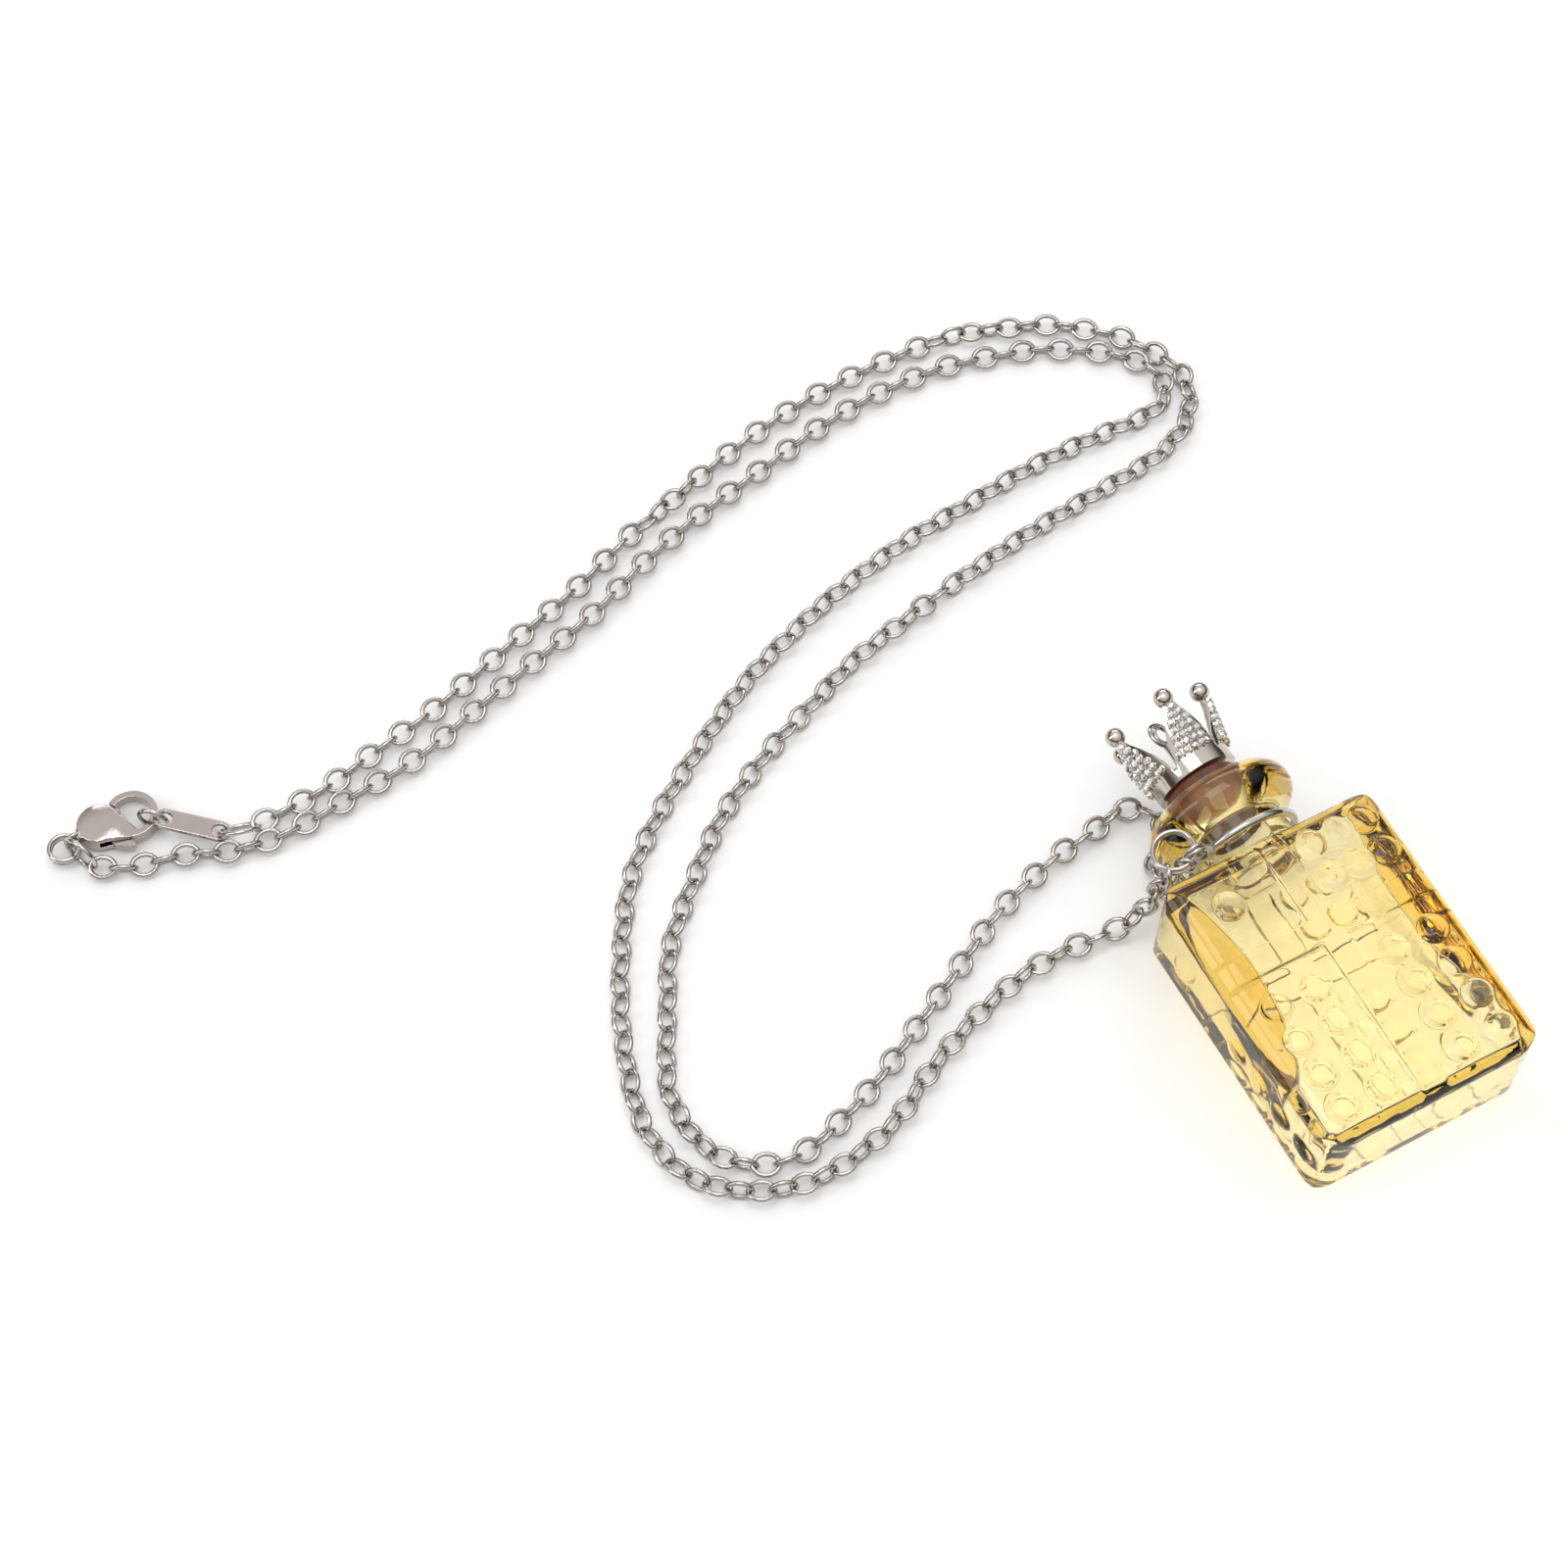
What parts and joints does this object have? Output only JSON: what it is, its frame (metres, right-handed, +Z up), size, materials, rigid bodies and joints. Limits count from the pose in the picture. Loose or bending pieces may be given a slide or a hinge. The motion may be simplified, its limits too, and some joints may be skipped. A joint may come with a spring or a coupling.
{
  "type": "bottle pendant necklace",
  "caption": "Small amber glass scent bottle with moulded ribbon and dots, crowned wooden stopper, and a fine cable chain with a lobster clasp, laid out on its back.",
  "frame": {"origin": "on the floor the piece lies on, under the middle of its bounding box", "axes": "+Z up from the floor; +Y along the bottle from its base to its neck, which is raised about 2 degrees; X across the bottle"},
  "size_m": [0.139, 0.1122, 0.0164],
  "materials": {
    "amber_glass": "clear, straw to amber",
    "stopper_wood": "dark brown, waxed",
    "crown_metal": "polished",
    "stones": "clear cut stones",
    "wire_metal": "polished wire",
    "chain_steel": "bright, slightly worn",
    "clasp_steel": "polished"
  },
  "bodies": {
    "necklace": {"bottle": "amber_glass", "neck_wire": "wire_metal", "joining_ring": "chain_steel", "tag_chain_near_clasp": "chain_steel", "tag_chain_near_bottle": "chain_steel", "clasp_chain": "chain_steel", "clasp_body": "clasp_steel", "tail_rings": "chain_steel", "clasp_chain_ring": "chain_steel", "tag": "clasp_steel", "hook_ring": "chain_steel", "tag_ring": "chain_steel"},
    "stopper_unit": {"stopper": "stopper_wood", "crown": "crown_metal", "crown_stones": "stones", "screw_eye": "crown_metal"},
    "lever": {"clasp_lever": "clasp_steel"}
  },
  "joints": [
    {"name": "stopper_pull", "type": "slide", "parent": "necklace", "child": "stopper_unit", "axis": [0, 0.9994, 0.034], "range_m": [0, 0.012]},
    {"name": "lever_swing", "type": "hinge", "parent": "necklace", "child": "lever", "pos_m": [-0.06313, 0.04119, 0.00134], "axis": [0, 0, 1], "range_deg": [-20, 0]}
  ]
}
